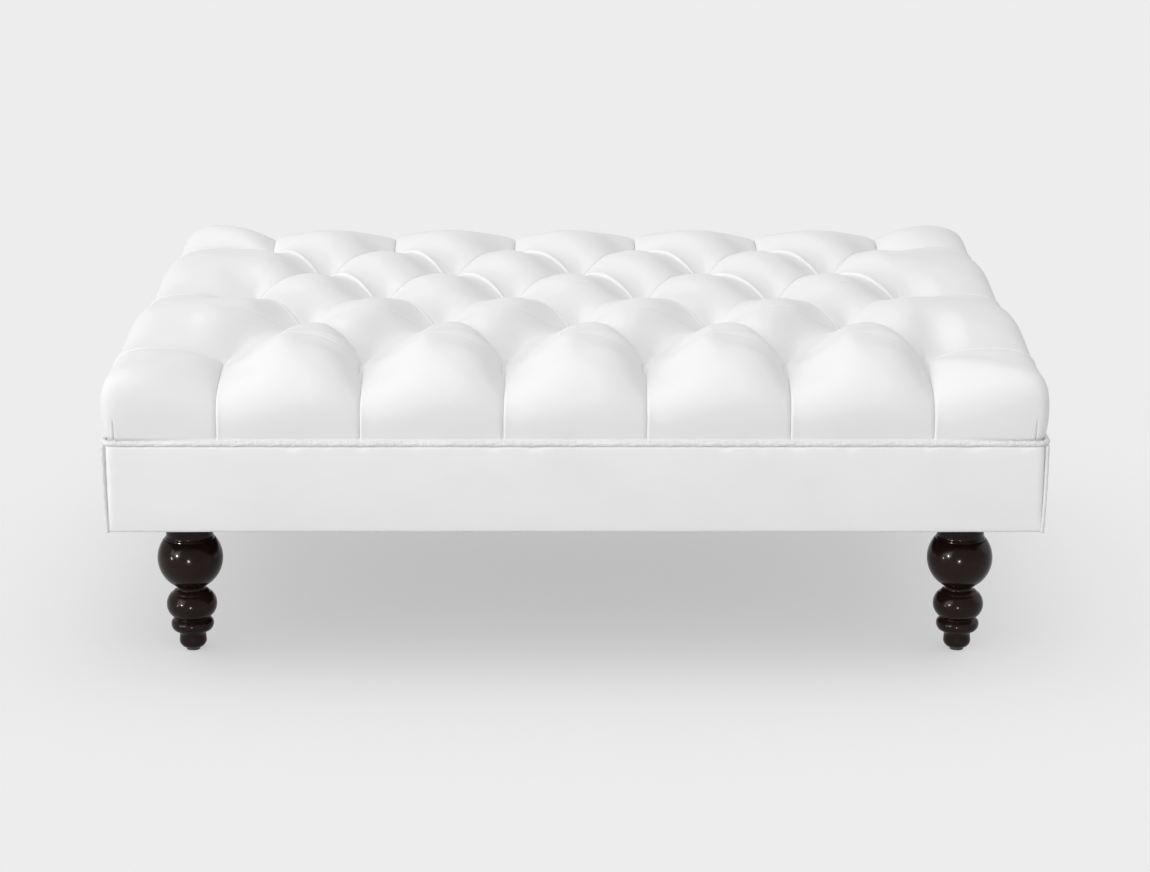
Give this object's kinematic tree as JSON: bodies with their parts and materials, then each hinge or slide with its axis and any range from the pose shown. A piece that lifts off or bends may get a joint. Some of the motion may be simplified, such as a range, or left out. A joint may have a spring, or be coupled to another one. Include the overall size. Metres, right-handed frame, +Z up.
{
  "type": "ottoman coffee table",
  "caption": "Low rectangular upholstered ottoman coffee table: deep diamond-tufted white top, piped edge, plain border and turned dark wood legs.",
  "frame": {"origin": "on the floor under the middle of the ottoman", "axes": "+X to the right along the long side, +Y to the back, +Z up"},
  "size_m": [1.22, 0.89, 0.4304],
  "materials": {
    "white_cloth": "smooth short-pile white velvet",
    "foam": "cream polyurethane foam",
    "wadding": "white polyester wadding",
    "twine": "waxed nylon tufting twine",
    "cotton_cord": "soft cotton piping cord",
    "washer_plastic": "moulded natural plastic",
    "card": "brown upholsterer's card",
    "dust_cloth": "black non-woven dust cloth",
    "plated_steel": "zinc plated",
    "plywood": "unfinished birch plywood",
    "frame_wood": "unfinished kiln-dried hardwood",
    "dark_wood": "turned hardwood, dark espresso, gloss lacquer",
    "dark_nylon": "black nylon"
  },
  "bodies": {
    "root": {"border_cover_back": "white_cloth", "border_cover_front": "white_cloth", "border_cover_left": "white_cloth", "border_cover_right": "white_cloth", "border_padding_back": "wadding", "border_padding_front": "wadding", "border_padding_left": "wadding", "border_padding_right": "wadding", "brace_screws": "plated_steel", "corner_block_back_left": "frame_wood", "corner_block_back_right": "frame_wood", "corner_block_front_left": "frame_wood", "corner_block_front_right": "frame_wood", "corner_block_screws": "plated_steel", "corner_welts": "white_cloth", "cross_brace_left": "frame_wood", "cross_brace_right": "frame_wood", "deck_panel": "plywood", "deck_screws": "plated_steel", "dust_cover": "dust_cloth", "dust_cover_staples": "plated_steel", "foam_core": "foam", "foot_glides": "dark_nylon", "hanger_bolts": "plated_steel", "leg_back_left": "dark_wood", "leg_back_right": "dark_wood", "leg_front_left": "dark_wood", "leg_front_right": "dark_wood", "rail_back": "frame_wood", "rail_front": "frame_wood", "rail_left": "frame_wood", "rail_right": "frame_wood", "rail_screws": "plated_steel", "tack_strips": "card", "tee_nuts": "plated_steel", "tuft_ties": "twine", "tuft_washers": "washer_plastic", "tufted_cover": "white_cloth", "welt_cover": "white_cloth", "welt_filler": "cotton_cord"}
  },
  "joints": []
}
